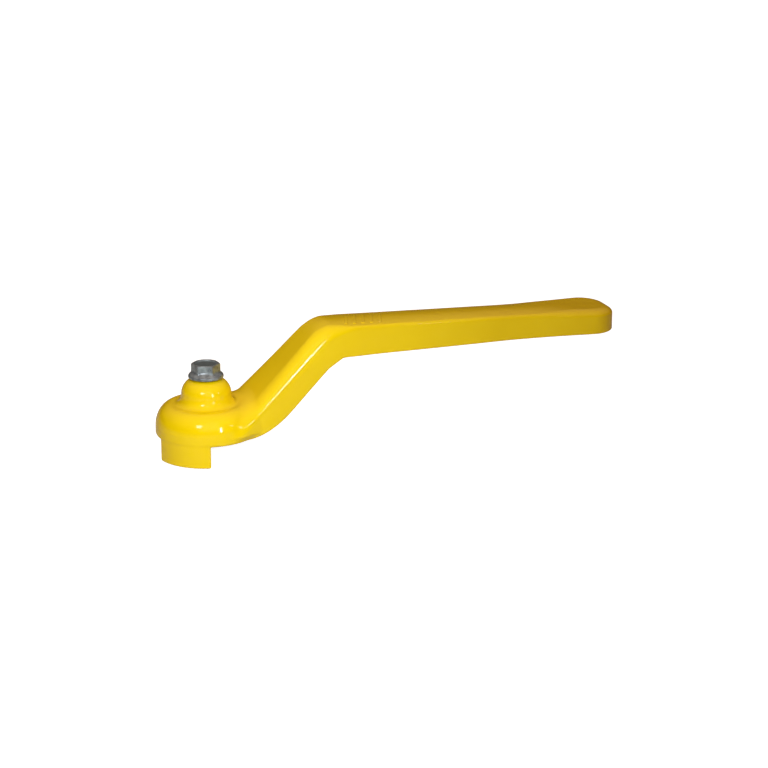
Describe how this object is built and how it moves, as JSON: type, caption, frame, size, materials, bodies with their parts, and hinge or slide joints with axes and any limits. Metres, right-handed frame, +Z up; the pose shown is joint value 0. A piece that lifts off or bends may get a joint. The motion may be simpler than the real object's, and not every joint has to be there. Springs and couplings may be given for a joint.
{
  "type": "ball valve lever handle",
  "caption": "Cranked lever handle with a domed hub, a stop lug under the rim and a flared grip, held on a valve stem by a hexagon flange bolt.",
  "frame": {"origin": "on the valve stem's axis, at the lower edge of the stop lug", "axes": "+Z up along the stem's axis, away from the valve; +X from the stem along the grip; the stem comes in from -Z"},
  "size_m": [0.2463, 0.0522, 0.0642],
  "materials": {
    "yellow_coating": "gloss",
    "zinc_plated_steel": "satin"
  },
  "bodies": {
    "handle": {"lever_handle": "yellow_coating"},
    "bolt": {"flange_bolt": "zinc_plated_steel"}
  },
  "joints": [
    {"name": "bolt_turn", "type": "hinge", "parent": "handle", "child": "bolt", "pos_m": [0, 0, 0.0402], "axis": [0, 0, 1], "continuous": true}
  ]
}
